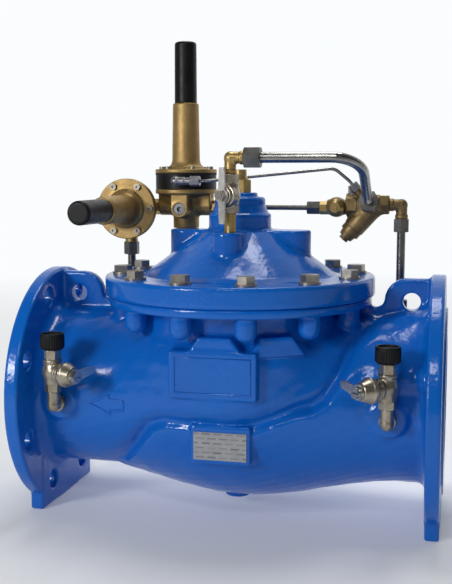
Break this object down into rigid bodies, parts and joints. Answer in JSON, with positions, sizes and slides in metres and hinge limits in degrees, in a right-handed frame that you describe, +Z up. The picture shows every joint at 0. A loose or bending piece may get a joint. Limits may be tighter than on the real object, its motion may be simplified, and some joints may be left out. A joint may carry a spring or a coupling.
{
  "type": "pressure reducing valve",
  "caption": "Diaphragm-operated globe control valve with flanged ends, a pipe-mounted control circuit with two spring pilots, strainer, ball valves and gauge taps.",
  "frame": {"origin": "centre of the inlet flange's sealing face", "axes": "+X out of the inlet flange, against the flow; -Y towards the side with the gauge valves; +Z up, out of the cover"},
  "size_m": [0.48, 0.315, 0.5555],
  "materials": {
    "blue_epoxy": "gloss epoxy coat",
    "stainless": "bright drawn and machined",
    "spring_steel": "wound round wire",
    "zinc_steel": "plated hexagon heads",
    "dark_steel": "plated nuts, dull",
    "cast_brass": "sand cast, matt",
    "machined_brass": "machined, satin",
    "nickel": "nickel plated brass",
    "lever_steel": "pressed sheet",
    "black_plastic": "satin moulded",
    "black_ring": "moulded",
    "rubber": "fabric reinforced rubber",
    "label": "printed foil"
  },
  "bodies": {
    "valve": {"valve_body": "blue_epoxy", "seat_ring": "stainless", "guide_bushes": "machined_brass", "main_diaphragm": "rubber", "main_spring": "spring_steel", "cover": "blue_epoxy", "cover_bolts": "zinc_steel", "vent_plug": "machined_brass", "name_plate": "label", "gauge_elbows": "nickel", "gauge_bodies": "nickel", "chamber_nipple": "machined_brass", "chamber_valve_body": "nickel", "pipe_elbows": "machined_brass", "chamber_pipe": "stainless", "pipe_nuts": "dark_steel", "pipe_connectors": "machined_brass", "strainer_body": "machined_brass", "strainer_cap": "machined_brass", "strainer_screen": "stainless", "needle_valve_body": "machined_brass", "branch_pipes": "stainless", "sensing_tube": "stainless", "sensing_fittings": "stainless", "feed_tube": "dark_steel", "port_plugs": "machined_brass", "pilot_body": "cast_brass", "pilot_ring": "black_ring", "pilot_diaphragm": "rubber", "pilot_bonnet": "cast_brass", "pilot_screws": "zinc_steel", "pilot_spring": "spring_steel", "relief_body": "cast_brass", "relief_bonnet": "cast_brass", "relief_spring": "spring_steel"},
    "disc_assembly": {"main_stem": "stainless", "valve_disc": "stainless", "disc_seal": "rubber", "disc_retainer": "stainless", "lower_diaphragm_plate": "stainless", "upper_diaphragm_plate": "stainless", "stem_nut": "stainless"},
    "outlet_gauge_handle": {"outlet_gauge_stem": "stainless", "outlet_gauge_lever": "lever_steel"},
    "inlet_gauge_handle": {"inlet_gauge_stem": "stainless", "inlet_gauge_lever": "lever_steel"},
    "outlet_cap": {"outlet_gauge_cap": "black_plastic"},
    "inlet_cap": {"inlet_gauge_cap": "black_plastic"},
    "chamber_handle_set": {"chamber_ball": "stainless", "chamber_handle": "lever_steel", "chamber_handle_nut": "zinc_steel"},
    "needle": {"needle_screw": "machined_brass"},
    "pilot_valve": {"pilot_poppet": "machined_brass"},
    "pilot_seat": {"pilot_spring_seat": "stainless"},
    "pilot_screw": {"pilot_adjuster": "stainless"},
    "pilot_cover": {"pilot_cap": "black_plastic"},
    "relief_valve": {"relief_piston": "stainless"},
    "relief_seat": {"relief_spring_seat": "stainless"},
    "relief_screw": {"relief_adjuster": "stainless"},
    "relief_cover": {"relief_cap": "black_plastic"}
  },
  "joints": [
    {"name": "main_lift", "type": "slide", "parent": "valve", "child": "disc_assembly", "axis": [0, 0, 1], "range_m": [0, 0.037], "stiffness_N_per_m": 1500, "springref_m": -0.04, "deforming": ["main_diaphragm", "main_spring"]},
    {"name": "outlet_gauge_turn", "type": "hinge", "parent": "valve", "child": "outlet_gauge_handle", "pos_m": [-0.429, -0.115, 0.035], "axis": [0.8746, -0.4848, 0], "range_deg": [-10, 80]},
    {"name": "inlet_gauge_turn", "type": "hinge", "parent": "valve", "child": "inlet_gauge_handle", "pos_m": [-0.0585, -0.115, 0.035], "axis": [0.7071, 0.7071, 0], "range_deg": [-10, 80]},
    {"name": "outlet_cap_off", "type": "slide", "parent": "valve", "child": "outlet_cap", "axis": [0, 0, 1], "range_m": [0, 0.03]},
    {"name": "inlet_cap_off", "type": "slide", "parent": "valve", "child": "inlet_cap", "axis": [0, 0, 1], "range_m": [0, 0.03]},
    {"name": "chamber_handle_turn", "type": "hinge", "parent": "valve", "child": "chamber_handle_set", "pos_m": [-0.2385, -0.058, 0.2315], "axis": [-0.342, -0.9397, 0], "range_deg": [0, 90]},
    {"name": "needle_turn", "type": "hinge", "parent": "valve", "child": "needle", "pos_m": [-0.1345, 0.06, 0.216], "axis": [0, -1, 0], "range_deg": [-720, 720]},
    {"name": "pilot_stroke", "type": "slide", "parent": "valve", "child": "pilot_valve", "axis": [0, 0, 1], "range_m": [0, 0.002], "stiffness_N_per_m": 5000, "springref_m": -0.002, "deforming": ["pilot_diaphragm", "pilot_spring"]},
    {"name": "pilot_seat_travel", "type": "slide", "parent": "valve", "child": "pilot_seat", "axis": [0, 0, -1], "range_m": [-0.00125, 0.00375]},
    {"name": "pilot_screw_turn", "type": "hinge", "parent": "pilot_seat", "child": "pilot_screw", "pos_m": [-0.322, 0.06, 0.342], "axis": [0, 0, -1], "range_deg": [-361, 1082]},
    {"name": "pilot_cap_off", "type": "slide", "parent": "valve", "child": "pilot_cover", "axis": [0, 0, 1], "range_m": [0, 0.09]},
    {"name": "relief_stroke", "type": "slide", "parent": "valve", "child": "relief_valve", "axis": [0, -1, 0], "range_m": [0, 0.002], "stiffness_N_per_m": 5000, "springref_m": -0.002, "deforming": ["relief_spring"]},
    {"name": "relief_seat_travel", "type": "slide", "parent": "valve", "child": "relief_seat", "axis": [0, 1, 0], "range_m": [-0.00125, 0.00375]},
    {"name": "relief_screw_turn", "type": "hinge", "parent": "relief_seat", "child": "relief_screw", "pos_m": [-0.3855, -0.067, 0.2135], "axis": [0, 1, 0], "range_deg": [-361, 1082]},
    {"name": "relief_cap_off", "type": "slide", "parent": "valve", "child": "relief_cover", "axis": [0, -1, 0], "range_m": [0, 0.09]}
  ],
  "couplings": [
    {"joint": "pilot_screw_turn", "follows": "pilot_seat_travel", "rad_per_m": 5026.5},
    {"joint": "relief_screw_turn", "follows": "relief_seat_travel", "rad_per_m": 5026.5}
  ]
}
